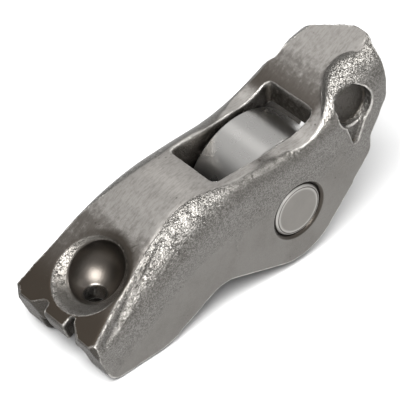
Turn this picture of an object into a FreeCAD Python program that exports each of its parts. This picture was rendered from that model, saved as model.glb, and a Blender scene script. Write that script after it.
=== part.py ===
import FreeCAD, Part
import math
import os
import Sketcher

# Roller finger follower of a valve train: one deep-drawn steel channel with a ball socket, a valve
# pad and a cam roller that turns on loose needles round a fixed axle.
# Millimetres. The origin is on the axle line at mid width, +X runs towards the valve pad, +Y along
# the axle, and +Z up on the side of the web that carries the ball socket and the valve pad.

SIZES = {
    # axle, needles and roller
    "axle_diameter": 7.3,
    "axle_bore_gap": 0.01,
    "axle_end_chamfer": 0.35,
    "axle_end_recess": 0.15,
    "bore_mouth_chamfer": 0.4,
    "needle_count": 17,
    "needle_radial_gap": 0.015,
    "needle_side_gap": 0.02,
    "needle_end_gap": 0.15,
    "roller_diameter": 17.0,
    "roller_width": 7.7,
    "roller_side_gap": 0.25,
    "roller_edge_chamfer": 0.35,
    # sheet and channel
    "wall_thickness": 3.0,
    "web_drop": 3.2,
    # upper face of the web: socket slope, deck with the roller window, ramp and valve pad
    "socket_x": -26.0,
    "socket_z": 1.9,
    "socket_tilt": 31.5,
    "deck_z": 8.88,
    "deck_tilt": 0.5,
    "deck_knee_radius": 14.0,
    "ramp_foot_x": 2.6,
    "ramp_foot_radius": 8.0,
    "ramp_top_x": 9.6,
    "ramp_top_radius": 8.0,
    "pad_x": 12.6,
    "pad_z": 15.0,
    "pad_tilt": 28.0,
    "coin_spread": 10.2,
    "coin_waist": 2.6,
    "coin_waist_half": 1.3,
    "coin_waist_radius": 3.3,
    "coin_end_half": 6.0,
    # lower edge of the side walls
    "heel_x": -30.0,
    "heel_z": -8.2,
    "heel_radius": 2.2,
    "heel_lean_x": -37.0,
    "shin_x": -21.2,
    "shin_z": -8.15,
    "shin_radius": 7.0,
    "arch_x": -12.0,
    "arch_z": -3.9,
    "arch_radius": 4.5,
    "belly_x": 1.7,
    "belly_z": -8.6,
    "belly_radius": 7.3,
    "lobe_x": 12.1,
    "lobe_z": 2.6,
    "lobe_radius": 1.6,
    "notch_x": 12.1,
    "notch_z": 4.7,
    "notch_radius": 0.9,
    "bulge_x": 15.0,
    "bulge_z": 9.2,
    "bulge_radius": 4.0,
    "tip_x": 15.9,
    # plan of the sheared valve end, from the far wall round the pad to the near wall
    "nose_far_x": 12.7,
    "nose_far_y": 4.3,
    "nose_flank_x": 14.75,
    "nose_flank_y": 0.6,
    "nose_tip_x": 15.75,
    "nose_tip_y": -2.2,
    "nose_root_x": 14.85,
    "nose_root_y": -4.3,
    "nose_near_x": 14.95,
    "nose_rounding": 1.6,
    # roller window
    "window_left": -10.5,
    "window_right": 5.4,
    "window_corner": 0.9,
    # ball socket
    "ball_radius": 4.0,
    "ball_rise": 0.2,
    "socket_mouth_radius": 5.1,
    "socket_mouth_shift": 0.7,
    "socket_mouth_depth": 0.75,
    "boss_depth": 6.0,
    "boss_foot_radius": 3.2,
    "boss_top_radius": 8.5,
    "boss_height": 7.5,
    "oil_hole_radius": 1.45,
    # ears and carrier-strip tongue at the socket end
    "end_x": -32.2,
    "ear_x": -32.3,
    "ear_inner_half": 4.3,
    "ear_outer_half": 6.4,
    "ear_rounding": 1.2,
    "shoulder_x": -31.7,
    "tongue_near_half": 1.6,
    "tongue_far_half": 2.1,
    "tongue_slot": 0.75,
    "tongue_slot_root": -29.9,
    "tongue_step_root": -31.2,
    "small_rounding": 0.3,
    # pressed-in lugs and drawn reliefs of the valve end
    "lug_x": 9.6,
    "lug_z": 10.3,
    "lug_radius": 2.7,
    "lug_depth": 1.7,
    "lug_reach": 2.2,
    "relief_half": 1.9,
    "relief_top": 9.2,
    "relief_tip_z": 4.2,
    "relief_depth": 0.7,
    "relief_rounding": 0.5,
}

# Cross-sections that the drawn outer skin passes through: place along the part, the line of the web
# it follows, height of its crest over that line, half width, and outer radii of the near and far bend.
STATIONS = [
    ("heel_end", -35.0, "socket", 4.0, 7.9, 4.2, 1.4),
    ("socket_side", -26.0, "socket", 0.5, 7.5, 4.3, 1.5),
    ("neck", -18.0, "socket", -0.05, 7.3, 4.3, 2.5),
    ("knee", -14.0, "deck", -0.35, 7.15, 4.0, 3.5),
    ("window_start", -10.0, "deck", 0.05, 7.1, 2.6, 3.6),
    ("window_mid", 0.0, "deck", 0.1, 7.1, 1.8, 2.4),
    ("window_end", 4.5, "ramp", 0.2, 7.1, 1.8, 2.0),
    ("ramp", 7.0, "ramp", 0.7, 7.1, 3.4, 3.4),
    ("pad_root", 10.0, "pad", 0.8, 7.0, 4.7, 4.4),
    ("pad_side", 13.0, "pad", 0.55, 6.8, 5.0, 5.0),
    ("pad_end", 17.0, "pad", -0.4, 6.4, 5.0, 5.0),
]

FAR = 40.0
SECTION_FLOOR = -12.0

doc = FreeCAD.newDocument("rocker_arm")
sheet = doc.addObject("Spreadsheet::Sheet", "Sizes")


def fill_sheet():
    """Write every driving size into the sheet, one row each, with its name as alias."""
    rows = dict(SIZES)
    for name, place, line, rise, half, near_bend, far_bend in STATIONS:
        rows[name + "_x"] = place
        rows[name + "_rise"] = rise
        rows[name + "_half"] = half
        rows[name + "_near_bend"] = near_bend
        rows[name + "_far_bend"] = far_bend
    for row, (name, value) in enumerate(rows.items(), start=1):
        sheet.set("A%d" % row, name)
        sheet.set("B%d" % row, str(value))
        sheet.setAlias("B%d" % row, name)
    doc.recompute()


def value_of(formula):
    """Number that a formula on the sheet's sizes gives now."""
    return float(sheet.evalExpression(formula))


def bind(item, **formulas):
    """Bind properties of an object to formulas; a double underscore stands for a dot."""
    for name, formula in formulas.items():
        item.setExpression(name.replace("__", "."), formula)


# Lines of the web's upper face, as formulas for the height at a place along the part.
def socket_line(place):
    return "(Sizes.socket_z + ((%s) - Sizes.socket_x) * tan(Sizes.socket_tilt * 1 deg))" % place


def deck_line(place):
    return "(Sizes.deck_z + (%s) * tan(Sizes.deck_tilt * 1 deg))" % place


def pad_line(place):
    return "(Sizes.pad_z + ((%s) - Sizes.pad_x) * tan(Sizes.pad_tilt * 1 deg))" % place


def ramp_line(place):
    foot = "Sizes.ramp_foot_x"
    top = "Sizes.ramp_top_x"
    slope = "(%s - %s) / (%s - %s)" % (pad_line(top), deck_line(foot), top, foot)
    return "(%s + ((%s) - %s) * %s)" % (deck_line(foot), place, foot, slope)


WEB_LINES = {"socket": socket_line, "deck": deck_line, "ramp": ramp_line, "pad": pad_line}
KNEE_X = (
    "((Sizes.deck_z - Sizes.socket_z + Sizes.socket_x * tan(Sizes.socket_tilt * 1 deg))"
    " / (tan(Sizes.socket_tilt * 1 deg) - tan(Sizes.deck_tilt * 1 deg)))"
)
CHANNEL_HALF = "(Sizes.roller_width / 2 + Sizes.roller_side_gap)"
BORE_RADIUS = "(Sizes.axle_diameter / 2 + Sizes.axle_bore_gap)"

# Planes that the outlines are drawn on.
SIDE_VIEW = FreeCAD.Placement(FreeCAD.Vector(0, 0, 0), FreeCAD.Rotation(FreeCAD.Vector(1, 0, 0), 90))
PLAN_VIEW = FreeCAD.Placement()
END_VIEW = FreeCAD.Placement(FreeCAD.Vector(0, 0, 0), FreeCAD.Rotation(FreeCAD.Vector(1, 1, 1), 120))


def corner_arc(before, corner, after, radius):
    """Start, centre and end of the arc that rounds one corner between two straight runs."""
    first = (before - corner).normalize()
    second = (after - corner).normalize()
    half_angle = first.getAngle(second) / 2
    run = radius / math.tan(half_angle)
    middle = (first + second).normalize()
    centre = corner + middle * (radius / math.sin(half_angle))
    return corner + first * run, centre, corner + second * run


def draw_outline(sketch, corners):
    """Draw a closed outline of straight runs with rounded corners, every size bound to a formula.

    Each corner is (x formula, y formula, radius formula or None)."""
    count = len(corners)
    points = [FreeCAD.Vector(value_of(c[0]), value_of(c[1]), 0) for c in corners]
    entries = []
    exits = []
    arcs = []
    for index, (_, _, radius) in enumerate(corners):
        here = points[index]
        if radius is None:
            entries.append(here)
            exits.append(here)
            arcs.append(None)
            continue
        start, centre, end = corner_arc(points[index - 1], here, points[(index + 1) % count], value_of(radius))
        entries.append(start)
        exits.append(end)
        arcs.append(centre)
    lines = []
    for index in range(count):
        run = Part.LineSegment(exits[index], entries[(index + 1) % count])
        lines.append(sketch.addGeometry(run, False))
    for index, (x_formula, y_formula, radius) in enumerate(corners):
        mark = sketch.addGeometry(Part.Point(points[index]), True)
        place_x = sketch.addConstraint(Sketcher.Constraint("DistanceX", -1, 1, mark, 1, points[index].x))
        place_y = sketch.addConstraint(Sketcher.Constraint("DistanceY", -1, 1, mark, 1, points[index].y))
        sketch.setExpression("Constraints[%d]" % place_x, x_formula)
        sketch.setExpression("Constraints[%d]" % place_y, y_formula)
        before = lines[index - 1]
        after = lines[index]
        if radius is None:
            sketch.addConstraint(Sketcher.Constraint("Coincident", before, 2, mark, 1))
            sketch.addConstraint(Sketcher.Constraint("Coincident", after, 1, mark, 1))
            continue
        round_corner(sketch, arcs[index], entries[index], exits[index], before, after, mark, radius)


def round_corner(sketch, centre, start, end, before, after, mark, radius):
    """Add the arc of one rounded corner, tangent to the runs on both sides of its mark."""
    size = (start - centre).Length
    angle_start = math.atan2(start.y - centre.y, start.x - centre.x)
    angle_end = math.atan2(end.y - centre.y, end.x - centre.x)
    left_turn = (start - centre).cross(end - centre).z > 0
    circle = Part.Circle(centre, FreeCAD.Vector(0, 0, 1), size)
    if left_turn:
        arc = sketch.addGeometry(Part.ArcOfCircle(circle, angle_start, angle_end), False)
        ends = (1, 2)
    else:
        arc = sketch.addGeometry(Part.ArcOfCircle(circle, angle_end, angle_start), False)
        ends = (2, 1)
    sketch.addConstraint(Sketcher.Constraint("Tangent", before, 2, arc, ends[0]))
    sketch.addConstraint(Sketcher.Constraint("Tangent", arc, ends[1], after, 1))
    sketch.addConstraint(Sketcher.Constraint("PointOnObject", mark, 1, before))
    sketch.addConstraint(Sketcher.Constraint("PointOnObject", mark, 1, after))
    size_index = sketch.addConstraint(Sketcher.Constraint("Radius", arc, size))
    sketch.setExpression("Constraints[%d]" % size_index, radius)


def outline(name, placement, corners):
    """Free sketch on one of the three views."""
    sketch = doc.addObject("Sketcher::SketchObject", name)
    sketch.Placement = placement
    draw_outline(sketch, corners)
    return sketch


def extrude(name, sketch, forward, backward):
    """Solid run of a sketch along its normal, forward and backward by two formulas."""
    body = doc.addObject("Part::Extrusion", name)
    body.Base = sketch
    body.DirMode = "Normal"
    body.Solid = True
    bind(body, LengthFwd=forward, LengthRev=backward)
    return body


def join(name, items):
    body = doc.addObject("Part::MultiFuse", name)
    body.Shapes = items
    return body


def cut(name, base, tool):
    body = doc.addObject("Part::Cut", name)
    body.Base = base
    body.Tool = tool
    return body


def overlap(name, items):
    body = doc.addObject("Part::MultiCommon", name)
    body.Shapes = items
    return body


def both_sides(name, item):
    """A copy of a piece on the other side of the part's middle plane."""
    mirror = doc.addObject("Part::Mirroring", name)
    mirror.Source = item
    mirror.Normal = FreeCAD.Vector(0, 1, 0)
    mirror.Base = FreeCAD.Vector(0, 0, 0)
    return mirror


def cylinder(name, radius, height):
    body = doc.addObject("Part::Cylinder", name)
    bind(body, Radius=radius, Height=height)
    return body


def cone(name, low_radius, high_radius, height):
    body = doc.addObject("Part::Cone", name)
    bind(body, Radius1=low_radius, Radius2=high_radius, Height=height)
    return body


def drawn_skin():
    """Outer skin of the drawn channel, lofted through its cross-sections."""
    sections = []
    for name, _, line, _, _, _, _ in STATIONS:
        half = "Sizes.%s_half" % name
        place = "Sizes.%s_x" % name
        crest = "%s + Sizes.%s_rise" % (WEB_LINES[line](place), name)
        floor = "%g" % SECTION_FLOOR
        corners = [
            ("-" + half, floor, None),
            (half, floor, None),
            (half, crest, "Sizes.%s_far_bend" % name),
            ("-" + half, crest, "Sizes.%s_near_bend" % name),
        ]
        sketch = outline("section_" + name, END_VIEW, corners)
        sketch.setExpression("Placement.Base.x", place)
        sections.append(sketch)
    skin = doc.addObject("Part::Loft", "drawn_skin")
    skin.Sections = sections
    skin.Solid = True
    skin.Ruled = False
    skin.MaxDegree = 2
    skin.Closed = False
    return skin


def wall_blank():
    """Side view of the blank: lower edges of the walls, heel, lobe, notch and bulge of the valve end."""
    corners = [
        ("Sizes.heel_lean_x", "10", None),
        ("Sizes.heel_x", "Sizes.heel_z", "Sizes.heel_radius"),
        ("Sizes.shin_x", "Sizes.shin_z", "Sizes.shin_radius"),
        ("Sizes.arch_x", "Sizes.arch_z", "Sizes.arch_radius"),
        ("Sizes.belly_x", "Sizes.belly_z", "Sizes.belly_radius"),
        ("Sizes.lobe_x", "Sizes.lobe_z", "Sizes.lobe_radius"),
        ("Sizes.notch_x", "Sizes.notch_z", "Sizes.notch_radius"),
        ("Sizes.bulge_x", "Sizes.bulge_z", "Sizes.bulge_radius"),
        ("Sizes.tip_x", "30", None),
        ("Sizes.heel_lean_x", "30", None),
    ]
    sketch = outline("wall_outline", SIDE_VIEW, corners)
    return extrude("wall_blank", sketch, "%g" % FAR, "%g" % FAR)


def plan_blank():
    """Plan of the socket end: two ears and the sheared tongue of the carrier strip between them."""
    near_slot = "-Sizes.tongue_near_half - Sizes.tongue_slot"
    far_slot = "Sizes.tongue_far_half + Sizes.tongue_slot"
    tight = "Sizes.small_rounding"
    corners = [
        ("%g" % FAR, "-%g" % FAR, None),
        ("%g" % FAR, "%g" % FAR, None),
        ("Sizes.shoulder_x", "%g" % FAR, None),
        ("Sizes.shoulder_x", "Sizes.ear_outer_half + 0.8", tight),
        ("Sizes.ear_x", "Sizes.ear_outer_half", "Sizes.ear_rounding / 2"),
        ("Sizes.ear_x", "Sizes.ear_inner_half", "Sizes.ear_rounding"),
        ("Sizes.tongue_step_root", far_slot, tight),
        ("Sizes.tongue_step_root", "Sizes.tongue_far_half", tight),
        ("Sizes.end_x", "Sizes.tongue_far_half", tight),
        ("Sizes.end_x", "-Sizes.tongue_near_half", tight),
        ("Sizes.tongue_slot_root", "-Sizes.tongue_near_half", tight),
        ("Sizes.tongue_slot_root", near_slot, tight),
        ("Sizes.tongue_step_root", near_slot, tight),
        ("Sizes.ear_x", "-Sizes.ear_inner_half", "Sizes.ear_rounding"),
        ("Sizes.ear_x", "-Sizes.ear_outer_half", "Sizes.ear_rounding / 2"),
        ("Sizes.shoulder_x", "-Sizes.ear_outer_half - 0.8", tight),
        ("Sizes.shoulder_x", "-%g" % FAR, None),
    ]
    sketch = outline("plan_outline", PLAN_VIEW, corners)
    return extrude("plan_blank", sketch, "%g" % FAR, "%g" % FAR)


def web_corners(drop, start, end):
    """Corners of the web's upper line, lowered by a formula, between two places."""
    below = " - (%s)" % drop
    foot = "Sizes.ramp_foot_x"
    top = "Sizes.ramp_top_x"
    return [
        (start, socket_line(start) + below, None),
        (KNEE_X, deck_line(KNEE_X) + below, "Sizes.deck_knee_radius"),
        (foot, deck_line(foot) + below, "Sizes.ramp_foot_radius"),
        (top, pad_line(top) + below, "Sizes.ramp_top_radius"),
        (end, pad_line(end) + below, None),
    ]


def coined_face():
    """What the press pushes away above the web: full width over socket and deck, and narrowed to a
    waist beside the raised near shoulder of the valve pad. The shoulder's wall is square to the pad."""
    start = "-%g" % FAR
    end = "%g" % FAR
    side = web_corners("0", start, end) + [(end, "60", None), (start, "60", None)]
    side_run = extrude("coined_side", outline("coined_outline", SIDE_VIEW, side), end, end)
    spread = "-Sizes.coin_spread"
    waist = "-Sizes.coin_waist"
    tail = "Sizes.coin_spread - 2 * Sizes.coin_waist"
    back = "-2 * %g" % FAR
    plan = [
        (back, start, None),
        (spread, start, None),
        (spread, "-Sizes.window_end_half", None),
        (waist, "-Sizes.coin_waist_half", "Sizes.coin_waist_radius"),
        (tail, "-Sizes.coin_end_half - Sizes.coin_waist_half", None),
        (tail, end, None),
        (back, end, None),
    ]
    sketch = outline("coined_plan", PLAN_VIEW, plan)
    sketch.Placement.Rotation.Axis = FreeCAD.Vector(0, 1, 0)
    bind(
        sketch,
        Placement__Base__x="Sizes.pad_x",
        Placement__Base__z="Sizes.pad_z",
        Placement__Rotation__Angle="-Sizes.pad_tilt * 1 deg",
    )
    plan_run = extrude("coined_plan_run", sketch, end, end)
    return overlap("coined_face", [side_run, plan_run])


def nose_waste():
    """What the shear takes off round the end of the valve pad, drawn in plan."""
    start = "-%g" % FAR
    end = "%g" % FAR
    wide = "2 * Sizes.nose_rounding"
    corners = [
        (end, start, None),
        (end, end, None),
        ("Sizes.nose_far_x", end, None),
        ("Sizes.nose_far_x", "Sizes.nose_far_y", wide),
        ("Sizes.nose_flank_x", "Sizes.nose_flank_y", wide),
        ("Sizes.nose_tip_x", "Sizes.nose_tip_y", "Sizes.nose_rounding"),
        ("Sizes.nose_root_x", "Sizes.nose_root_y", "Sizes.small_rounding"),
        ("Sizes.nose_near_x", start, None),
    ]
    return extrude("nose_waste", outline("nose_outline", PLAN_VIEW, corners), end, end)


def channel():
    """Inside of the channel, under the web and between the walls."""
    start = "-%g" % FAR
    end = "%g" % FAR
    corners = web_corners("Sizes.web_drop", start, end) + [(end, "-60", None), (start, "-60", None)]
    sketch = outline("channel_outline", SIDE_VIEW, corners)
    return extrude("channel", sketch, CHANNEL_HALF, CHANNEL_HALF)


def window():
    """Window through the web that the roller turns in."""
    half = CHANNEL_HALF
    corners = [
        ("Sizes.window_left", "-" + half, "Sizes.window_corner"),
        ("Sizes.window_right", "-" + half, "Sizes.window_corner"),
        ("Sizes.window_right", half, "Sizes.window_corner"),
        ("Sizes.window_left", half, "Sizes.window_corner"),
    ]
    sketch = outline("window_outline", PLAN_VIEW, corners)
    return extrude("window", sketch, "%g" % FAR, "0")


def socket_centre(item):
    bind(item, Placement__Base__x="Sizes.socket_x", Placement__Base__z="Sizes.socket_z + Sizes.ball_rise")


def socket_boss():
    """Underside of the drawn ball socket, a blunt cone of the sheet between the walls."""
    foot = "(Sizes.socket_z + Sizes.ball_rise - Sizes.boss_depth)"
    bulge = cone("socket_bulge", "Sizes.boss_foot_radius", "Sizes.boss_top_radius", "Sizes.boss_height")
    bind(bulge, Placement__Base__x="Sizes.socket_x", Placement__Base__z=foot)
    bed = doc.addObject("Part::Box", "socket_bed")
    bind(
        bed,
        Length="Sizes.boss_top_radius - Sizes.socket_x + Sizes.end_x + %g" % FAR,
        Width="2 * " + CHANNEL_HALF,
        Height="Sizes.boss_height",
        Placement__Base__x="Sizes.end_x + Sizes.tongue_slot",
        Placement__Base__y="-" + CHANNEL_HALF,
        Placement__Base__z=foot,
    )
    return overlap("socket_boss", [bulge, bed])


def socket_hollow():
    """Ball seat, its countersunk mouth square to the web, and the oil hole straight down."""
    ball = doc.addObject("Part::Sphere", "ball_seat")
    bind(ball, Radius="Sizes.ball_radius")
    socket_centre(ball)
    reach = "(1.5 * Sizes.socket_mouth_depth)"
    mouth = cone(
        "socket_mouth",
        "Sizes.socket_mouth_radius - 2 * " + reach,
        "Sizes.socket_mouth_radius + 2 * " + reach,
        "2 * " + reach,
    )
    tilt = "Sizes.socket_tilt * 1 deg"
    shift = "Sizes.socket_mouth_shift"
    bind(
        mouth,
        Placement__Base__x="Sizes.socket_x - %s * cos(%s) + %s * sin(%s)" % (shift, tilt, reach, tilt),
        Placement__Base__z="Sizes.socket_z - %s * sin(%s) - %s * cos(%s)" % (shift, tilt, reach, tilt),
        Placement__Rotation__Angle="-(%s)" % tilt,
    )
    mouth.Placement.Rotation.Axis = FreeCAD.Vector(0, 1, 0)
    hole = cylinder("oil_hole", "Sizes.oil_hole_radius", "20")
    bind(hole, Placement__Base__x="Sizes.socket_x", Placement__Base__z="Sizes.socket_z - 20")
    return join("socket_hollow", [ball, mouth, hole])


def lay_along_y(item, start):
    """Turn a round piece so that it runs along +Y from a place."""
    item.Placement = FreeCAD.Placement(FreeCAD.Vector(0, 0, 0), FreeCAD.Rotation(FreeCAD.Vector(1, 0, 0), -90))
    item.setExpression("Placement.Base.y", start)


def axle_bores():
    """Bore through both walls for the axle, with a chamfered mouth on each outer face."""
    bore = cylinder("axle_bore", BORE_RADIUS, "2 * %g" % FAR)
    lay_along_y(bore, "-%g" % FAR)
    outer = "(%s + Sizes.wall_thickness)" % CHANNEL_HALF
    wide = "%s + 2 * Sizes.bore_mouth_chamfer" % BORE_RADIUS
    far_mouth = cone("bore_mouth", BORE_RADIUS, wide, "2 * Sizes.bore_mouth_chamfer")
    lay_along_y(far_mouth, outer + " - Sizes.bore_mouth_chamfer")
    near_mouth = both_sides("bore_mouth_near", far_mouth)
    return join("axle_bores", [bore, far_mouth, near_mouth])


def lug(name, radius, start, length):
    """Round slug across one wall at the place of its pressed-in lug."""
    slug = cylinder(name, radius, length)
    lay_along_y(slug, start)
    bind(slug, Placement__Base__x="Sizes.lug_x", Placement__Base__z="Sizes.lug_z")
    return slug


def pressed_lugs():
    """Lugs that stand out inside the two walls where the press pushed the sheet in."""
    far = lug("lug_far", "Sizes.lug_radius - 0.2", CHANNEL_HALF + " - Sizes.lug_reach", "Sizes.lug_reach + 0.5")
    return join("pressed_lugs", [far, both_sides("lug_near", far)])


def press_marks():
    """Round dents of the lugs in the outer faces, each with the drawn relief that tapers down below it."""
    depth = "%s + Sizes.wall_thickness - Sizes.lug_depth" % CHANNEL_HALF
    dent = lug("dent_far", "Sizes.lug_radius", depth, "%g" % FAR)
    tight = "Sizes.relief_rounding"
    corners = [
        ("Sizes.lug_x - Sizes.relief_half", "Sizes.relief_top", tight),
        ("Sizes.lug_x - 0.2", "Sizes.relief_tip_z", tight),
        ("Sizes.lug_x + Sizes.relief_half", "Sizes.relief_top", tight),
    ]
    sketch = outline("relief_outline", SIDE_VIEW, corners)
    relief = extrude(
        "relief_far", sketch, "-(%s + Sizes.wall_thickness - Sizes.relief_depth)" % CHANNEL_HALF, "%g" % FAR
    )
    far = join("press_marks_far", [dent, relief])
    return join("press_marks", [far, both_sides("press_marks_near", far)])


def lever_body():
    """The one-piece stamped lever."""
    blank = overlap("blank", [drawn_skin(), wall_blank(), plan_blank()])
    hollowed = cut("hollowed_blank", blank, channel())
    bossed = join("bossed_blank", [hollowed, socket_boss(), pressed_lugs()])
    trimmed = cut("trimmed_blank", bossed, coined_face())
    nosed = cut("nosed_blank", trimmed, nose_waste())
    tools = join("press_tools", [window(), socket_hollow(), axle_bores(), press_marks()])
    return cut("lever_body", nosed, tools)


def turned_body(name, corners):
    """Body turned about the Y axis from a half section of (radius, place along Y) corners."""
    body = doc.addObject("PartDesign::Body", name)
    sketch = body.newObject("Sketcher::SketchObject", name + "_section")
    planes = [item for item in body.Origin.OriginFeatures if item.Role == "XY_Plane"]
    sketch.AttachmentSupport = [(planes[0], "")]
    sketch.MapMode = "FlatFace"
    draw_outline(sketch, corners)
    turned = body.newObject("PartDesign::Revolution", name + "_turned")
    turned.Profile = sketch
    turned.ReferenceAxis = (sketch, ["V_Axis"])
    turned.Angle = 360
    body.Tip = turned
    return body


def axle_pin():
    """Turned axle with chamfered heads, a little below the outer faces of the walls."""
    radius = "(Sizes.axle_diameter / 2)"
    half = "(%s + Sizes.wall_thickness - Sizes.axle_end_recess)" % CHANNEL_HALF
    chamfer = "Sizes.axle_end_chamfer"
    corners = [
        ("0", "-" + half, None),
        ("%s - %s" % (radius, chamfer), "-" + half, None),
        (radius, "-%s + %s" % (half, chamfer), None),
        (radius, "%s - %s" % (half, chamfer), None),
        ("%s - %s" % (radius, chamfer), half, None),
        ("0", half, None),
    ]
    return turned_body("axle_pin", corners)


NEEDLE_STEP = "sin(180 deg / Sizes.needle_count)"
NEEDLE_RADIUS = (
    "(((Sizes.axle_diameter / 2 + Sizes.needle_radial_gap) * %s - Sizes.needle_side_gap / 2)"
    " / (1 - %s))" % (NEEDLE_STEP, NEEDLE_STEP)
)
NEEDLE_CIRCLE = "(Sizes.axle_diameter / 2 + Sizes.needle_radial_gap + %s)" % NEEDLE_RADIUS
ROLLER_BORE = "(%s + %s + Sizes.needle_radial_gap)" % (NEEDLE_CIRCLE, NEEDLE_RADIUS)


def roller():
    """Ground outer ring that the cam runs on."""
    radius = "(Sizes.roller_diameter / 2)"
    half = "(Sizes.roller_width / 2)"
    edge = "Sizes.roller_edge_chamfer"
    corners = [
        (ROLLER_BORE, "-" + half, None),
        ("%s - %s" % (radius, edge), "-" + half, None),
        (radius, "-%s + %s" % (half, edge), None),
        (radius, "%s - %s" % (half, edge), None),
        ("%s - %s" % (radius, edge), half, None),
        (ROLLER_BORE, half, None),
    ]
    return turned_body("roller", corners)


def needles():
    """Loose needles that fill the space between axle and roller, one body each."""
    half = "(Sizes.roller_width / 2 - Sizes.needle_end_gap)"
    corners = [
        ("0", "-" + half, None),
        (NEEDLE_RADIUS, "-" + half, None),
        (NEEDLE_RADIUS, half, None),
        ("0", half, None),
    ]
    bodies = []
    for number in range(int(SIZES["needle_count"])):
        body = turned_body("needle_%02d" % (number + 1), corners)
        angle = "%d * 360 deg / Sizes.needle_count" % number
        bind(
            body,
            Placement__Base__x="%s * cos(%s)" % (NEEDLE_CIRCLE, angle),
            Placement__Base__z="%s * sin(%s)" % (NEEDLE_CIRCLE, angle),
        )
        bodies.append(body)
    return bodies


def check_document(parts):
    """Stop if any object failed or any piece is empty or not valid."""
    for item in doc.Objects:
        bad = [state for state in item.State if state in ("Invalid", "Error")]
        if bad:
            raise RuntimeError("%s: %s" % (item.Name, item.getStatusString()))
    for part in parts:
        if part.Shape.isNull() or not part.Shape.isValid() or len(part.Shape.Solids) != 1:
            raise RuntimeError("%s has no single valid solid" % part.Label)


def write_parts(parts):
    os.makedirs("parts", exist_ok=True)
    for part in parts:
        part.Shape.exportStep(os.path.join("parts", part.Label + ".step"))


fill_sheet()
PARTS = [lever_body(), axle_pin(), roller()] + needles()
doc.recompute()
check_document(PARTS)
write_parts(PARTS)
for part in PARTS[:4]:
    print(part.Label, "volume", round(part.Shape.Volume, 2), "faces", len(part.Shape.Faces))
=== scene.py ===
import bmesh
import bpy
import numpy as np
from mathutils import Matrix, Vector


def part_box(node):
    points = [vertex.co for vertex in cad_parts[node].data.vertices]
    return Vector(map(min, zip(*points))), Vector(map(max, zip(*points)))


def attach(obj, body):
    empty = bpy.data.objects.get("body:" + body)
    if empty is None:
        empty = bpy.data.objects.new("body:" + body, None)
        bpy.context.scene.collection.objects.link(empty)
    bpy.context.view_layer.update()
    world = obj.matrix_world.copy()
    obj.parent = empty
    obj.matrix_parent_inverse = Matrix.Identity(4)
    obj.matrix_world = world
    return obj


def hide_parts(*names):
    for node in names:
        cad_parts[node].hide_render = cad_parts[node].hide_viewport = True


# Looks of a stamped roller finger follower. Meshes are in metres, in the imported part's own frame: +X
# towards the valve pad, +Y along the axle, +Z up on the side of the ball socket and the valve pad.
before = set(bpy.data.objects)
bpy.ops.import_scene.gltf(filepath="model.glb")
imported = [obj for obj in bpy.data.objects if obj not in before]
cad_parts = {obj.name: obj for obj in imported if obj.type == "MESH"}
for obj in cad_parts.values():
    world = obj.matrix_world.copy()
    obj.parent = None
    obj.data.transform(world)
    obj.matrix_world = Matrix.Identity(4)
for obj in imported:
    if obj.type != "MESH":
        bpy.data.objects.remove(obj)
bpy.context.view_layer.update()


# Lever body: one deep-drawn channel of case-hardened sheet steel, which the press also coins, pierces
# and trims. Tumbling leaves its edges softly broken and the coined web smooth, and the drawn bends
# keep a fine orange-peel grain.
MM_PER_METRE = 1000.0
SKIN_GRID = 0.00015
SKIN_TRIANGLES = 185000
MERGE_REACH = 1e-7
EASING_ROUNDS = 7
EASING_FORWARD = 0.55
EASING_BACK = -0.565
HALF_WAY = 0.5


def linked_piece(name, mesh):
    """New object in the scene with a mesh of the same name."""
    mesh.name = name
    piece = bpy.data.objects.new(name, mesh)
    bpy.context.scene.collection.objects.link(piece)
    return piece


def shaped_mesh(piece):
    """New mesh with the piece's modifiers worked in. The piece itself goes."""
    graph = bpy.context.evaluated_depsgraph_get()
    mesh = bpy.data.meshes.new_from_object(piece.evaluated_get(graph))
    bpy.data.objects.remove(piece)
    return mesh


def rebuilt_copy(node, name, grid):
    """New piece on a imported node's surface: its loose triangles are merged, and the closed shape is
    rebuilt as an even net of faces of one grid width."""
    copy = linked_piece(name + "_copy", node.data.copy())
    merged = bmesh.new()
    merged.from_mesh(copy.data)
    bmesh.ops.remove_doubles(merged, verts=merged.verts, dist=MERGE_REACH)
    merged.to_mesh(copy.data)
    merged.free()
    remesh = copy.modifiers.new("grid", "REMESH")
    remesh.mode = "VOXEL"
    remesh.voxel_size = grid
    return linked_piece(name, shaped_mesh(copy))


def thinned_copy(piece, name, triangles):
    """New piece with fewer triangles, taken where the surface is flattest. Kept values stay with it."""
    thinning = piece.modifiers.new("thinning", "DECIMATE")
    thinning.ratio = triangles / (2.0 * len(piece.data.polygons))
    return linked_piece(name, shaped_mesh(piece))


def read_columns(mesh, kind):
    """Vertex places ("co") or directions ("normal") as one array of three columns."""
    values = np.empty(len(mesh.vertices) * 3)
    mesh.vertices.foreach_get(kind, values)
    return values.reshape(-1, 3)


def read_edges(mesh):
    """Both end numbers of every edge."""
    ends = np.empty(len(mesh.edges) * 2, dtype=np.int64)
    mesh.edges.foreach_get("vertices", ends)
    return ends.reshape(-1, 2)


def write_points(mesh, points):
    """Put the vertices at new places."""
    mesh.vertices.foreach_set("co", points.ravel())
    mesh.update()


def write_map(mesh, name, values):
    """Keep one value for each vertex under a name that the finish reads."""
    mesh.attributes.new(name, "FLOAT", "POINT").data.foreach_set("value", values)


def neighbour_mean(values, edges):
    """Mean over each vertex's neighbours: the values at the far ends of its edges, over their count."""
    first, second = edges[:, 0], edges[:, 1]
    size = len(values)
    count = np.bincount(first, minlength=size) + np.bincount(second, minlength=size)
    columns = [
        np.bincount(first, values[second, k], size) + np.bincount(second, values[first, k], size)
        for k in range(values.shape[1])
    ]
    return np.stack(columns, axis=1) / np.maximum(count, 1)[:, None]


def drawn_in(points, edges, share):
    """Points moved by a share of the way to their neighbours' mean."""
    return points + share * (neighbour_mean(points, edges) - points)


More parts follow.
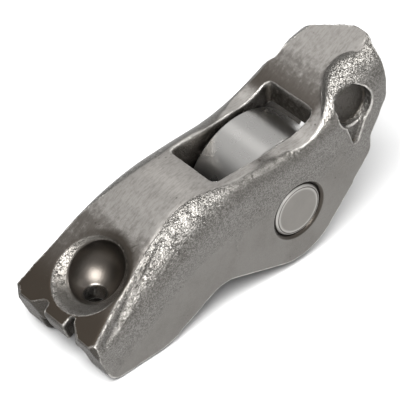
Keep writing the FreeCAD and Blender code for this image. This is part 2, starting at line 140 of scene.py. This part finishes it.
def eased(points, edges):
    """Surface with its grid steps ironed out: each round moves every vertex towards its neighbours'
    mean by one share and back by a slightly larger one, which keeps the volume. One plain half-way
    move then breaks the sharp edges."""
    for _ in range(EASING_ROUNDS):
        points = drawn_in(points, edges, EASING_FORWARD)
        points = drawn_in(points, edges, EASING_BACK)
    return drawn_in(points, edges, HALF_WAY)


def rise(values, low, high):
    """Smooth step from 0 at low to 1 at high: the square of the way there times 3 less twice it."""
    share = np.clip((values - low) / (high - low), 0.0, 1.0)
    return share * share * (3.0 - 2.0 * share)


def fall(values, low, high):
    """Smooth step from 1 at low to 0 at high."""
    return 1.0 - rise(values, low, high)


# Web line in millimetres: the socket slope, and the places where the slope changes, each with its
# new slope and half the length of its rounding.
SOCKET_PLACE, SOCKET_HEIGHT, SOCKET_SLOPE = -26.0, 1.9, 0.6128
TURNS = [(-14.82, 0.0087, 3.73), (2.6, 0.6432, 2.21), (9.6, 0.5317, 0.28)]
SLOPE_REACH = 0.01


def web_height(x):
    """Height of the web's upper face along the lever: the socket slope, and for each turn the change
    of slope times a run that starts as a parabola over the rounding and goes on straight."""
    height = SOCKET_HEIGHT + SOCKET_SLOPE * (x - SOCKET_PLACE)
    slope = SOCKET_SLOPE
    for place, new_slope, half in TURNS:
        bent = np.clip(x - place + half, 0.0, 2.0 * half) ** 2 / (4.0 * half)
        straight = np.maximum(x - place - half, 0.0)
        height = height + (new_slope - slope) * (bent + straight)
        slope = new_slope
    return height


# Shape of the skin. Places are in millimetres, and each pair is where a soft step begins and ends.
draft = rebuilt_copy(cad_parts["lever_body"], "lever_draft", SKIN_GRID)
edges = read_edges(draft.data)
points = eased(read_columns(draft.data, "co"), edges)
write_points(draft.data, points)
normals = read_columns(draft.data, "normal")
along, across, height = (points * MM_PER_METRE).T
below_web = web_height(along) - height
UPWARD = (0.2, 0.4)
facing_up = rise(normals[:, 2], *UPWARD)

# Drawing mark: a shallow groove just outside the near crease of the socket end, which is the line, as
# place and side, where the coined web meets the drawn bend.
CREASE = np.array([(-35.0, -7.9), (-26.0, -5.2), (-18.0, -3.0), (-14.0, -3.15)])
MARK_DEPTH = 0.32
MARK_AWAY = 0.95
MARK_WIDTH = 0.42
MARK_START, MARK_END = (-33.5, -30.5), (-22.5, -18.0)
outside = np.interp(along, CREASE[:, 0], CREASE[:, 1]) - across
mark = np.exp(-(((outside - MARK_AWAY) / MARK_WIDTH) ** 2))
mark = mark * rise(along, *MARK_START) * fall(along, *MARK_END) * facing_up
points = points - normals * (mark * MARK_DEPTH / MM_PER_METRE)[:, None]

# Crest rounding: the ridge beside the valve ramp is rounded off, and the near crease a little.
CREST_ROUNDS = 45
CREST_START, CREST_END = (5.0, 8.0), (14.0, 14.8)
CREST_SIDE, CREST_DROP = (0.8, 1.4), (-0.1, 1.2)
CREASE_START, CREASE_END, CREASE_REACH = (-33.0, -31.0), (-19.0, -16.0), (0.5, 1.0)
CREASE_SHARE = 0.4
crest = rise(along, *CREST_START) * fall(along, *CREST_END) * rise(-across, *CREST_SIDE)
crest = crest * fall(below_web, *CREST_DROP)
crease = fall(np.abs(outside), *CREASE_REACH) * rise(along, *CREASE_START) * fall(along, *CREASE_END)
share = np.maximum(crest, CREASE_SHARE * crease * facing_up)[:, None]
for _ in range(CREST_ROUNDS):
    points = drawn_in(points, edges, HALF_WAY * share)

# Sharpness of the surface, painted bright where it stands out, partly as edge wear and partly as a painted
# highlight, and painted dark as shade where it sinks in: strongest along the narrow lands beside the
# window, faint on the far bend and at the sheared end.
LAND_START, LAND_END = (-11.0, -9.0), (7.0, 9.0)
LAND_SIDE, LAND_REACH, LAND_PLANE = 5.7, (0.8, 1.2), (0.2, 0.4)
LAND_GAIN = 1.6
FAR_SIDE, FAR_END, FAR_LOSS = (2.5, 3.5), (-14.0, -11.0), 0.85
TRIM_PLACE, TRIM_LOSS = (-31.0, -29.0), 0.35
EDGE_GAIN, EDGE_REST = 15.0, 0.5
sharpness = ((points - neighbour_mean(points, edges)) * normals).sum(axis=1) * MM_PER_METRE
sharpness = neighbour_mean(sharpness[:, None], edges)[:, 0]
land = rise(along, *LAND_START) * fall(along, *LAND_END)
land = land * fall(np.abs(across + LAND_SIDE), *LAND_REACH) * fall(np.abs(below_web), *LAND_PLANE)
sharpness = sharpness * (1.0 + LAND_GAIN * land)
sharpness = sharpness * (1.0 - FAR_LOSS * rise(across, *FAR_SIDE) * fall(along, *FAR_END))
sharpness = sharpness * (1.0 - TRIM_LOSS * fall(along, *TRIM_PLACE))
write_map(draft.data, "edge", np.clip(EDGE_REST + sharpness * EDGE_GAIN, 0.0, 1.0))

low_corner, high_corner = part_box("lever_body")
write_points(draft.data, np.clip(points, np.array(low_corner), np.array(high_corner)))
lever = thinned_copy(draft, "lever_skin", SKIN_TRIANGLES)
lever.data.shade_smooth()

# Zones of the finish, worked out on the thinned skin, again in millimetres.
points = read_columns(lever.data, "co") * MM_PER_METRE
normals = read_columns(lever.data, "normal")
along, across, height = points.T
endward = np.abs(normals[:, 0])
upward = normals[:, 2]
below_web = web_height(along) - height
web_slope = (web_height(along + SLOPE_REACH) - web_height(along - SLOPE_REACH)) / (2.0 * SLOPE_REACH)
level = (upward - web_slope * normals[:, 0]) / np.sqrt(1.0 + web_slope**2)

# Coined web: what lies in the web's own plane and faces as it does. It is painted darker before the
# window, furnace scale stays on it round the socket and at the trimmed end, and the foot of the ramp is
# painted the same dark brown.
COINED_LEVEL, COINED_PLANE = (0.955, 0.985), (0.07, 0.16)
DARKER_START, DARKER_END, DARKER_SHARE = (-18.5, -14.0), (-9.0, -6.0), 0.2
SOCKET_SCALE, SOCKET_SCALE_SHARE = (-22.5, -18.5), 0.75
TRIM_SCALE, TRIM_SCALE_SHARE = (-30.0, -24.0), 0.25
RAMP_START, RAMP_END, RAMP_SIDE = (2.2, 4.5), (5.0, 12.5), (-5.4, -3.8)
RAMP_FOOT_SHARE = 0.9
coined = rise(level, *COINED_LEVEL) * fall(np.abs(below_web), *COINED_PLANE)
darker_web = DARKER_SHARE * coined * rise(along, *DARKER_START) * fall(along, *DARKER_END)
socket_scale = SOCKET_SCALE_SHARE * fall(along, *SOCKET_SCALE)
socket_scale = (socket_scale + TRIM_SCALE_SHARE * fall(along, *TRIM_SCALE)) * coined
ramp_foot_dark = rise(along, *RAMP_START) * fall(along, *RAMP_END) * coined * rise(across, *RAMP_SIDE)

# Ball seat, its rim and its oil hole, by the reach from the ball's centre, the rise along the seat's
# axis and the distance from that axis. The side nearest to the axle's near head is painted darker as
# shade, and so is the inside of the oil hole.
SEAT_CENTRE = np.array([-26.0, 0.0, 2.1])
SEAT_AXIS = np.array([-0.5225, 0.0, 0.8526])
SHADE_SIDE = np.array([0.756, -0.653, 0.0])
SHADE_SIDE_REACH, RIM_SIDE_SHADE, SEAT_SIDE_SHADE = (-0.5, 3.0), 0.85, 0.75
SEAT_REACH = (4.05, 4.25)
RIM_AWAY, SATIN_AWAY, RIM_RISE = (5.0, 5.3), (5.0, 5.7), (-2.5, -1.5)
HOLE_REACH, HOLE_AWAY, HOLE_RISE = (4.02, 4.12), (1.7, 2.1), (-3.2, -2.5)
SATIN_SHADE, SATIN_SMOOTHING = 0.5, 0.6
from_seat = points - SEAT_CENTRE
seat_reach = np.linalg.norm(from_seat, axis=1)
seat_rise = from_seat @ SEAT_AXIS
seat_away = np.sqrt(np.maximum(seat_reach**2 - seat_rise**2, 0.0))
seat = fall(seat_reach, *SEAT_REACH)
rim = fall(seat_away, *RIM_AWAY) * (1.0 - seat) * rise(seat_rise, *RIM_RISE)
satin = fall(seat_away, *SATIN_AWAY) * rise(seat_rise, *RIM_RISE) * (1.0 - seat)
side_in_shade = rise(from_seat @ SHADE_SIDE, *SHADE_SIDE_REACH)
oil_hole = rise(seat_reach, *HOLE_REACH) * fall(seat_away, *HOLE_AWAY) * fall(seat_rise, *HOLE_RISE)

# Faces painted with shade: the channel's inside and the window's walls, the pressed dent of each lug, and
# the mouths of the axle bores.
INNER_SIDE, INNER_DROP, INNER_REACH = (4.2, 4.5), (0.15, 0.8), (4.3, 5.8)
DENT_PLACE, DENT_HEIGHT, DENT_AWAY = 9.6, 10.3, (2.3, 2.8)
DENT_OUTER, DENT_INNER, DENT_SHADE = (5.7, 6.4), (4.5, 5.0), 0.75
MOUTH_AWAY, MOUTH_SIDE, MOUTH_SHADE = (3.95, 4.1), (6.3, 6.6), 0.9
side = np.abs(across)
inner = fall(side, *INNER_SIDE) * (1.0 - coined) * rise(below_web, *INNER_DROP)
inner = inner * rise(seat_reach, *INNER_REACH)
dent = fall(np.hypot(along - DENT_PLACE, height - DENT_HEIGHT), *DENT_AWAY)
dent = dent * fall(side, *DENT_OUTER) * rise(side, *DENT_INNER)
bore_mouth = fall(np.hypot(along, height), *MOUTH_AWAY) * rise(side, *MOUTH_SIDE)

# Sheared faces: the trimmed socket end, and the blunt edge of the valve end.
TRIM_FACING, TRIM_END = (0.6, 0.8), (-28.5, -27.0)
BLUNT_FACING, BLUNT_START, BLUNT_DROP = (0.3, 0.5), (12.2, 12.8), (3.0, 3.4)
sheared = rise(endward, *TRIM_FACING) * fall(along, *TRIM_END)
blunt = rise(along, *BLUNT_START) * fall(np.abs(upward), *BLUNT_FACING)
blunt = blunt * fall(below_web, *BLUNT_DROP) * rise(endward, *BLUNT_FACING)

# Orange peel: on the drawn bends below the web and on the flanks of the valve end, ironed flatter by
# the die along the window.
BEND_DROP = (4.0, 8.5)
IRONED_START, IRONED_END, IRONED_DROP = (-12.0, -9.0), (6.0, 9.0), (0.8, 1.8)
IRONED_LOSS = 0.45
FLANK_START, FLANK_HEIGHT = (6.0, 9.0), (1.0, 5.0)
GRAIN_FLOOR = 0.12
ironed = rise(along, *IRONED_START) * fall(along, *IRONED_END) * fall(below_web, *IRONED_DROP)
bend_grain = (1.0 - coined) * fall(below_web, *BEND_DROP) * (1.0 - IRONED_LOSS * ironed)
flank_grain = (1.0 - coined) * rise(along, *FLANK_START) * rise(height, *FLANK_HEIGHT)
grain = np.clip(np.maximum(bend_grain, flank_grain), GRAIN_FLOOR, 1.0)
grain = grain * (1.0 - seat) * (1.0 - SATIN_SMOOTHING * satin)

# Painted shade in recesses: the rim and the seat on their shaded side, the oil hole and the bore mouths.
hollows = [RIM_SIDE_SHADE * rim * side_in_shade, SEAT_SIDE_SHADE * seat * side_in_shade, oil_hole, MOUTH_SHADE * bore_mouth]
shades = [inner, DENT_SHADE * dent, darker_web, SATIN_SHADE * satin]
zones = {
    "coined": coined,
    "scale": np.maximum(socket_scale, RAMP_FOOT_SHARE * ramp_foot_dark),
    "seat": seat,
    "sheared": np.maximum(sheared, blunt),
    "hollow": np.maximum.reduce(hollows),
    "shade": np.maximum.reduce(shades),
    "grain": grain,
}
for name, values in zones.items():
    write_map(lever.data, name, values)


class Reading:
    """A number on its way through a finish: a sum written on it adds the Math node that works it out."""

    def __init__(self, finish, socket):
        self.finish = finish
        self.socket = socket

    def work(self, operation, first, second=0.0):
        """Reading that one Math node makes of one or two numbers or readings."""
        return self.finish.node("ShaderNodeMath", {"operation": operation}, {0: first, 1: second})

    def __add__(self, other):
        return self.work("ADD", self, other)

    def __radd__(self, other):
        return self.work("ADD", other, self)

    def __sub__(self, other):
        return self.work("SUBTRACT", self, other)

    def __rsub__(self, other):
        return self.work("SUBTRACT", other, self)

    def __mul__(self, other):
        return self.work("MULTIPLY", self, other)

    def __rmul__(self, other):
        return self.work("MULTIPLY", other, self)

    def __abs__(self):
        return self.work("ABSOLUTE", self)


class Finish:
    """One procedural finish: a material or a world, and the nodes that feed its shader."""

    def __init__(self, owner, shader, place):
        owner.use_nodes = True
        self.owner = owner
        self.tree = owner.node_tree
        self.shader = self.tree.nodes[shader]
        self.place = self.node("ShaderNodeTexCoord", {}, {}, place)

    def link(self, socket, value):
        """Feed a socket from a reading or with a plain value."""
        if isinstance(value, Reading):
            self.tree.links.new(value.socket, socket)
        else:
            socket.default_value = value

    def feed(self, name, value):
        """Feed one of the shader's own sockets."""
        self.link(self.shader.inputs[name], value)

    def node(self, kind, settings, sockets, output=0):
        """Add any node: its settings first, then its sockets."""
        made = self.tree.nodes.new(kind)
        for name, setting in settings.items():
            setattr(made, name, setting)
        for name, value in sockets.items():
            self.link(made.inputs[name], value)
        return Reading(self, made.outputs[output])

    def noise(self, scale, detail, roughness, place=None):
        """Cloudy reading between 0 and 1, its patches about one over scale wide, in metres."""
        sockets = {"Scale": scale, "Detail": detail, "Roughness": roughness, "Vector": place or self.place}
        return self.node("ShaderNodeTexNoise", {}, sockets)

    def stretched(self, factors):
        """Place in the piece with each direction multiplied by its own factor."""
        return self.node("ShaderNodeVectorMath", {"operation": "MULTIPLY"}, {0: self.place, 1: factors})

    def zone(self, name):
        """Value that was kept for each vertex under a name."""
        return self.node("ShaderNodeAttribute", {"attribute_name": name}, {}, "Fac")

    def steps(self, reading, low, high):
        """Reading carried smoothly from 0 at low to 1 at high."""
        sockets = {"Value": reading, "From Min": low, "From Max": high}
        return self.node("ShaderNodeMapRange", {"interpolation_type": "SMOOTHSTEP"}, sockets)

    def blend(self, share, first, second):
        """Colour between two colours by a share. Inputs 6 and 7 and output 2 are Mix's colours."""
        return self.node("ShaderNodeMix", {"data_type": "RGBA"}, {0: share, 6: first, 7: second}, 2)

    def bump(self, height, depth, under=None):
        """Surface direction with a height laid on it, its full swing being depth in metres."""
        sockets = {"Height": height, "Strength": 1.0, "Distance": depth}
        if under is not None:
            sockets["Normal"] = under
        return self.node("ShaderNodeBump", {}, sockets)


def metal(name):
    """New finish of bare metal, laid out by the place in its own piece."""
    finish = Finish(bpy.data.materials.new(name), "Principled BSDF", "Object")
    finish.feed("Metallic", 1.0)
    return finish


DRAWN_LIGHT = (0.158, 0.151, 0.141, 1.0)
DRAWN_DULL = (0.132, 0.125, 0.115, 1.0)
GRAIN_DARK = (0.085, 0.08, 0.073, 1.0)
GRAIN_LIGHT = (0.235, 0.227, 0.214, 1.0)
SHEARED_GREY = (0.055, 0.05, 0.044, 1.0)
COINED_GREY = (0.405, 0.386, 0.364, 1.0)
COINED_DULL = (0.23, 0.216, 0.199, 1.0)
SCALE_BROWN = (0.055, 0.045, 0.036, 1.0)
SEAT_GREY = (0.078, 0.07, 0.062, 1.0)
INNER_GREY = (0.05, 0.045, 0.039, 1.0)
EDGE_WEAR_HIGHLIGHT = (0.6, 0.58, 0.55, 1.0)
PIT_AND_SHADE_DARK = (0.045, 0.038, 0.031, 1.0)

# Noises as scale, detail and roughness, and the spans over which each reading turns into a share.
CLOUD, CLOUD_SPAN = (210.0, 3.0, 0.6), (0.35, 0.7)
MOTTLE, MOTTLE_SPAN = (1100.0, 4.0, 0.7), (0.42, 0.7)
PEEL, PEEL_SPAN = (5400.0, 2.0, 0.6), (0.36, 0.66)
FINE = (9000.0, 2.0, 0.6)
BRUSH, BRUSH_SPAN = (5200.0, 2.0, 0.6), (0.4, 0.7)
BRUSH_STRETCH = (0.22, 1.0, 0.22)
FOLD, FOLD_MIDDLE = (2500.0, 4.0, 0.65), 0.5
CRACK_SPAN, CRACKED_MOTTLE, CRACKED_GRAIN = (0.042, 0.0), (0.4, 0.56), (0.15, 0.5)
PIT_SCALE, PIT_SPAN, PITTED_CLOUD = 1300.0, (0.22, 0.1), (0.57, 0.62)
GRAIN_SHARE, CRACK_SHARE, PIT_SHARE = 0.7, 0.75, 0.6
MOTTLE_SHARE, BRUSH_SHARE = 0.35, 0.42
SCALE_MOTTLE, SCALE_SPAN = 0.6, (0.5, 0.95)
WEAR_HIGHLIGHT_LEAST, WEAR_HIGHLIGHT_MOTTLE, WEAR_HIGHLIGHT_SPAN, WEAR_HIGHLIGHT_EDGE = 0.35, 0.5, (0.35, 0.6), (0.57, 0.74)
CREASE_SHADE_SPAN = (0.42, 0.2)
ROUGHNESS, GRAIN_GLOSS, COINED_GLOSS = 0.34, 0.04, 0.04
SCALE_ROUGH, SEAT_ROUGH, SHEARED_ROUGH = 0.1, 0.02, 0.15
PEEL_DEPTH, SHEARED_PEEL, BRUSH_HEIGHT, CRACK_HEIGHT = 0.0001, 0.5, 0.12, 0.45
FINE_DEPTH, FINE_LEAST, FINE_GRAIN = 0.00002, 0.3, 0.7


def drawn_steel():
    """Tumbled drawn sheet: orange peel with hair cracks on the bends, a brushed coined web with a few
    pits, brown furnace scale round the socket and the foot of the ramp painted the same dark brown, edges
    painted bright as wear and as a highlight, and painted shade in creases and recesses."""
    finish = metal("drawn_steel")
    coined = finish.zone("coined")
    edge = finish.zone("edge")
    scale = finish.zone("scale")
    seat = finish.zone("seat")
    grain = finish.zone("grain")
    sheared = finish.zone("sheared")
    cloud = finish.noise(*CLOUD)
    mottle = finish.noise(*MOTTLE)
    peel = finish.noise(*PEEL)
    fine = finish.noise(*FINE)
    brush = finish.noise(*BRUSH, finish.stretched(BRUSH_STRETCH))

    crack = finish.steps(abs(finish.noise(*FOLD) - FOLD_MIDDLE), *CRACK_SPAN)
    crack = crack * finish.steps(mottle, *CRACKED_MOTTLE) * finish.steps(grain, *CRACKED_GRAIN)
    cells = {"Vector": finish.place, "Scale": PIT_SCALE}
    away = finish.node("ShaderNodeTexVoronoi", {}, cells, "Distance")
    pit = finish.steps(away, *PIT_SPAN) * finish.steps(cloud, *PITTED_CLOUD) * (1.0 - seat)

    drawn = finish.blend(finish.steps(cloud, *CLOUD_SPAN), DRAWN_LIGHT, DRAWN_DULL)
    speckle = finish.blend(finish.steps(peel, *PEEL_SPAN), GRAIN_DARK, GRAIN_LIGHT)
    drawn = finish.blend(GRAIN_SHARE * grain, drawn, speckle)
    drawn = finish.blend(CRACK_SHARE * crack, drawn, SHEARED_GREY)
    dullness = MOTTLE_SHARE * finish.steps(mottle, *MOTTLE_SPAN)
    dullness = dullness + BRUSH_SHARE * finish.steps(brush, *BRUSH_SPAN)
    web = finish.blend(dullness, COINED_GREY, COINED_DULL)

    colour = finish.blend(PIT_SHARE * pit, finish.blend(coined, drawn, web), PIT_AND_SHADE_DARK)
    # Painted shade from the shade zone; it also darkens the web before the window and the seat's rim.
    colour = finish.blend(finish.zone("shade"), colour, INNER_GREY)
    colour = finish.blend(seat, colour, SEAT_GREY)
    colour = finish.blend(sheared, colour, SHEARED_GREY)
    scaled = scale * finish.steps(mottle + SCALE_MOTTLE * scale, *SCALE_SPAN)
    colour = finish.blend(scaled, colour, SCALE_BROWN)
    # Edges that stand out are painted bright, partly as wear and partly as a painted highlight.
    wear_and_highlight = WEAR_HIGHLIGHT_LEAST + WEAR_HIGHLIGHT_MOTTLE * finish.steps(mottle, *WEAR_HIGHLIGHT_SPAN)
    colour = finish.blend(wear_and_highlight * finish.steps(edge, *WEAR_HIGHLIGHT_EDGE), colour, EDGE_WEAR_HIGHLIGHT)
    # The hollow zone is painted shade.
    colour = finish.blend(finish.zone("hollow"), colour, PIT_AND_SHADE_DARK)
    # Creases where the surface sinks in are painted dark as shade.
    finish.feed("Base Color", finish.blend(finish.steps(edge, *CREASE_SHADE_SPAN), colour, PIT_AND_SHADE_DARK))

    gloss = ROUGHNESS - GRAIN_GLOSS * grain - COINED_GLOSS * coined
    finish.feed("Roughness", gloss + SCALE_ROUGH * scale + SEAT_ROUGH * seat + SHEARED_ROUGH * sheared)
    relief = peel * (grain + SHEARED_PEEL * sheared) + BRUSH_HEIGHT * brush - CRACK_HEIGHT * crack
    relief = finish.bump(relief, PEEL_DEPTH)
    finish.feed("Normal", finish.bump(fine * (FINE_LEAST + FINE_GRAIN * grain), FINE_DEPTH, relief))
    return finish.owner


lever.data.materials.clear()
lever.data.materials.append(drawn_steel())
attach(lever, "lever")
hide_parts("lever_body")


# Axle: a hardened and ground pin, its turned heads set just under the outer faces of the walls. Each
# head has a thin turned groove painted dark as shade, a chamfer outside it painted bright as a highlight,
# a painted sheen just inside the groove and a ring of painted shade at its outer edge. Radii are in
# millimetres.
HEAD_LIGHT = (0.2, 0.19, 0.176, 1.0)
HEAD_DULL = (0.165, 0.157, 0.145, 1.0)
LIP_HIGHLIGHT = (0.42, 0.41, 0.39, 1.0)
GROOVE_AND_GAP_SHADE = (0.06, 0.055, 0.05, 1.0)
HEAD_CLOUD = (500.0, 3.0, 0.6)
AXLE_PLANE = (MM_PER_METRE, 0.0, MM_PER_METRE)
LIP_START, LIP_END, LIP_SHARE = (3.24, 3.3), (3.52, 3.46), 0.8
GROOVE_START, GROOVE_END, GROOVE_SHARE = (3.1, 3.14), (3.24, 3.2), 0.9
RIM_START = (3.48, 3.54)
SHEEN_START, SHEEN_END, SHEEN_SHARE = (2.7, 3.05), (3.12, 3.08), 0.6
HEAD_ROUGHNESS, HEAD_ROUGH_CLOUD = 0.3, 0.12
HEAD_DEPTH, SHEEN_HEIGHT = 0.00004, 0.5


def turned_steel():
    """Turned end faces with fine rings round the axle line, by the distance from it: painted shade in the
    groove and at the outer edge, a painted highlight on the chamfer and a painted sheen inside the groove.
    """
    finish = metal("turned_steel")
    cloud = finish.noise(*HEAD_CLOUD)
    flat = finish.stretched(AXLE_PLANE)
    away = finish.node("ShaderNodeVectorMath", {"operation": "LENGTH"}, {0: flat}, "Value")
    lip = finish.steps(away, *LIP_START) * finish.steps(away, *LIP_END)
    groove = finish.steps(away, *GROOVE_START) * finish.steps(away, *GROOVE_END)
    groove = groove + finish.steps(away, *RIM_START)
    sheen = finish.steps(away, *SHEEN_START) * finish.steps(away, *SHEEN_END)
    face = finish.blend(cloud, HEAD_LIGHT, HEAD_DULL)
    # Painted highlight on the chamfer and painted sheen inside the groove.
    face = finish.blend(SHEEN_SHARE * sheen + LIP_SHARE * lip, face, LIP_HIGHLIGHT)
    # Painted shade in the groove and at the outer edge.
    finish.feed("Base Color", finish.blend(GROOVE_SHARE * groove, face, GROOVE_AND_GAP_SHADE))
    finish.feed("Roughness", HEAD_ROUGHNESS + HEAD_ROUGH_CLOUD * cloud)
    finish.feed("Normal", finish.bump(SHEEN_HEIGHT * sheen - groove, HEAD_DEPTH))
    return finish.owner


def dress(names, material):
    """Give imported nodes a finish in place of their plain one."""
    for name in names:
        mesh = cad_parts[name].data
        mesh.materials.clear()
        mesh.materials.append(material)


dress(["axle_pin"], turned_steel())


# Cam roller: a ring of hardened bearing steel, ground round on its outer face. It runs on the needles,
# between the two walls.
GROUND_GREY = (0.38, 0.372, 0.36, 1.0)
GROUND_CLOUD = (300.0, 3.0, 0.6)
GROUND_ROUGHNESS, GROUND_ROUGH_CLOUD = 0.24, 0.08


def ground_steel():
    """Ground bearing steel, a little cloudy in its gloss."""
    finish = metal("ground_steel")
    finish.feed("Base Color", GROUND_GREY)
    finish.feed("Roughness", GROUND_ROUGHNESS + GROUND_ROUGH_CLOUD * finish.noise(*GROUND_CLOUD))
    return finish.owner


bearing_finish = ground_steel()
dress(["roller"], bearing_finish)


# Needles: a full row of loose lapped rollers of the same steel between the axle and the ring. Nothing
# but the axle, the ring and the walls holds them.
dress([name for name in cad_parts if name.startswith("needle")], bearing_finish)


# Setting: a pale floor that the roller and the heel stand on, soft light from above, and a room that
# is bright all round but for one dim side, which gives the metal its darker reflections.
FLOOR_LEVEL = -0.00852
FLOOR_REACH = 3.0
PAPER_GREY = (0.48, 0.48, 0.48, 1.0)
PAPER_ROUGHNESS = 0.9
floor_sides = [(-1, -1), (1, -1), (1, 1), (-1, 1)]
floor_corners = [(FLOOR_REACH * x, FLOOR_REACH * y, FLOOR_LEVEL) for x, y in floor_sides]
floor_mesh = bpy.data.meshes.new("floor")
floor_mesh.from_pydata(floor_corners, [], [(0, 1, 2, 3)])
floor = linked_piece("floor", floor_mesh)
paper = Finish(bpy.data.materials.new("paper"), "Principled BSDF", "Object")
paper.feed("Base Color", PAPER_GREY)
paper.feed("Roughness", PAPER_ROUGHNESS)
paper.feed("Specular IOR Level", 0.0)
floor_mesh.materials.append(paper.owner)

ROOM_LEVEL = 0.92
DIM_LEVEL = 0.05
DIM_SIDE = (-0.704, 0.704, 0.087)
DIM_START, DIM_FULL = 0.72, 0.93
room = Finish(bpy.data.worlds.new("studio"), "Background", "Generated")
directions = {0: room.place, 1: DIM_SIDE}
lean = room.node("ShaderNodeVectorMath", {"operation": "DOT_PRODUCT"}, directions, "Value")
room.feed("Color", (1.0, 1.0, 1.0, 1.0))
room.feed("Strength", ROOM_LEVEL + (DIM_LEVEL - ROOM_LEVEL) * room.steps(lean, DIM_START, DIM_FULL))
bpy.context.scene.world = room.owner

# Square lamps that face the part: name, place, side and power.
LAMPS = [
    ("overhead", (-0.175, -0.13, 0.36), 0.26, 4.8),
    ("far_box", (0.048, 0.224, 0.304), 0.1, 0.026),
    ("right_box", (0.23, -0.11, 0.31), 0.11, 0.45),
]
for name, place, side_length, power in LAMPS:
    lamp = bpy.data.lights.new(name, "AREA")
    lamp.size = side_length
    lamp.energy = power
    holder = bpy.data.objects.new(name, lamp)
    bpy.context.scene.collection.objects.link(holder)
    holder.location = place
    holder.rotation_mode = "QUATERNION"
    holder.rotation_quaternion = (-Vector(place)).to_track_quat("-Z", "Y")

# Camera: the photograph's own direction and distance, with its right and back directions.
CAMERA_PLACE = (-0.1820, -0.2158, 0.2444)
CAMERA_RIGHT = (0.7559, -0.653, -0.0421)
CAMERA_BACK = (-0.4702, -0.588, 0.6580)
LENS_LENGTH = 277.2
SENSOR_WIDTH = 36.0
right = Vector(CAMERA_RIGHT).normalized()
back = Vector(CAMERA_BACK).normalized()
up = back.cross(right).normalized()
right = up.cross(back)
lens = bpy.data.cameras.new("camera")
lens.lens = LENS_LENGTH
lens.sensor_width = SENSOR_WIDTH
camera = bpy.data.objects.new("camera", lens)
bpy.context.scene.collection.objects.link(camera)
camera.matrix_world = Matrix.Translation(CAMERA_PLACE) @ Matrix((right, up, back)).transposed().to_4x4()
bpy.context.scene.camera = camera
bpy.context.scene.view_settings.view_transform = "Standard"
